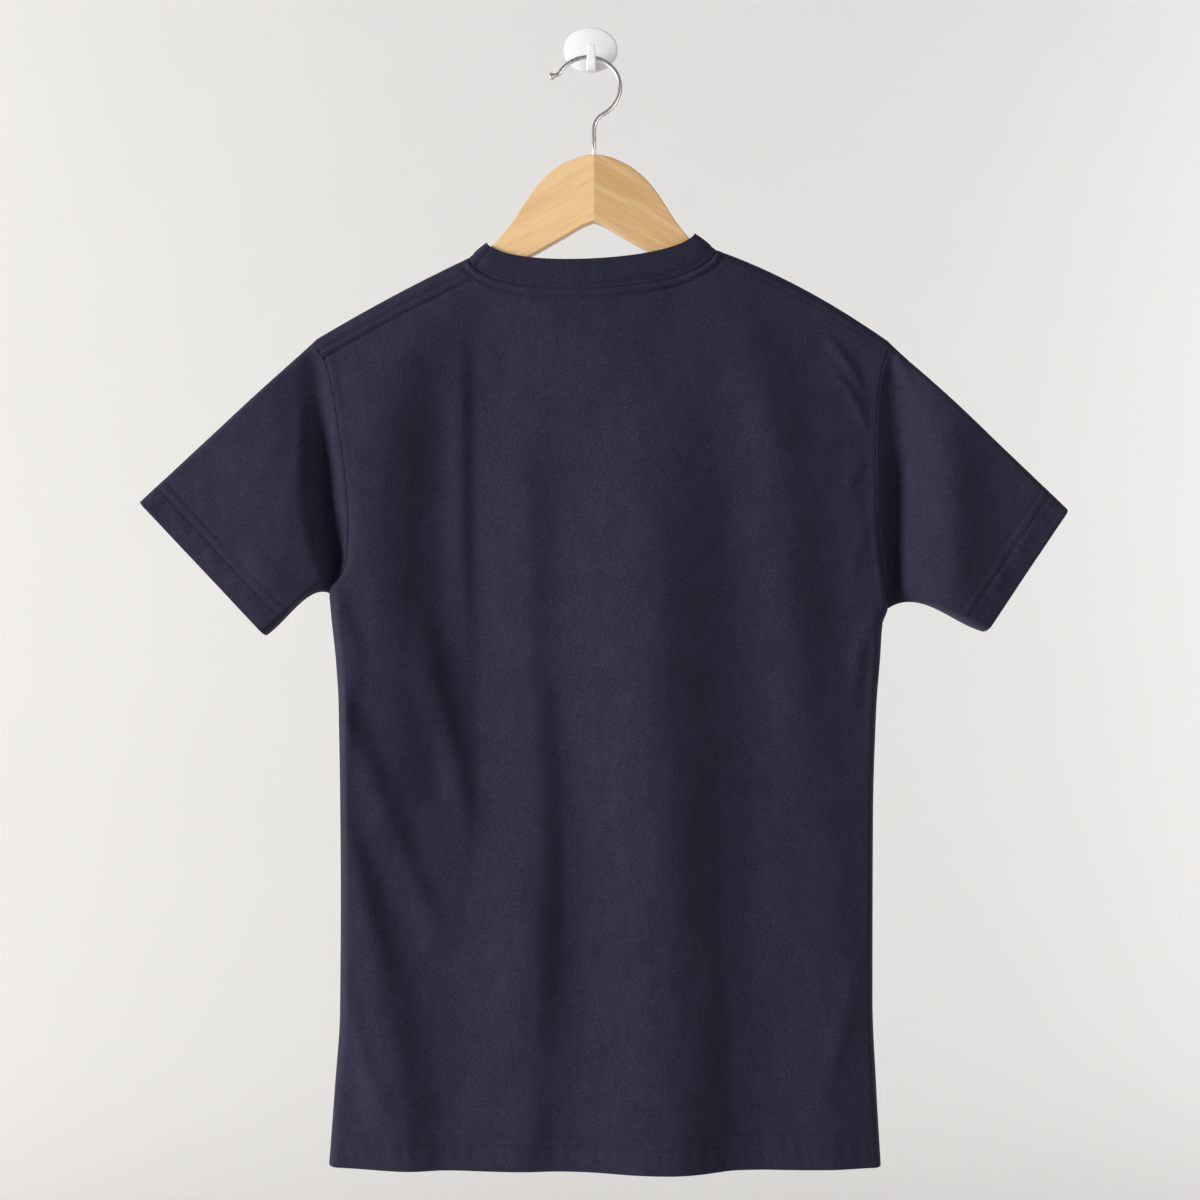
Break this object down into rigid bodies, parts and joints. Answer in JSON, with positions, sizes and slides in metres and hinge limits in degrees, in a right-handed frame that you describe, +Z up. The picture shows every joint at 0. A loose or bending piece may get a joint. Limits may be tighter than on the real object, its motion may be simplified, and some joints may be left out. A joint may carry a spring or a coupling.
{
  "type": "t-shirt on clothes hanger and wall hook",
  "caption": "Navy crew-neck T-shirt with short sleeves on a contoured wooden hanger, hung by its wire hook on an oval white wall hook, with its back to the viewer.",
  "frame": {"origin": "centre of the flat back face of the wall hook's plate, where it meets the wall", "axes": "+Z up, +X to the right of a viewer who faces the wall, +Y into the wall"},
  "size_m": [0.718, 0.0486, 0.8867],
  "materials": {
    "jersey": "matt fine cotton jersey, navy",
    "rib_knit": "matt cotton rib knit, navy",
    "wood": "pale wood under satin varnish",
    "steel_wire": "bright plated steel wire",
    "white_plastic": "white satin plastic"
  },
  "bodies": {
    "root": {"back_panel": "jersey", "front_panel": "jersey", "sleeve_left": "jersey", "sleeve_right": "jersey", "neck_rib": "rib_knit", "hanger_wood": "wood", "hanger_wire": "steel_wire", "wall_hook": "white_plastic"}
  },
  "joints": []
}
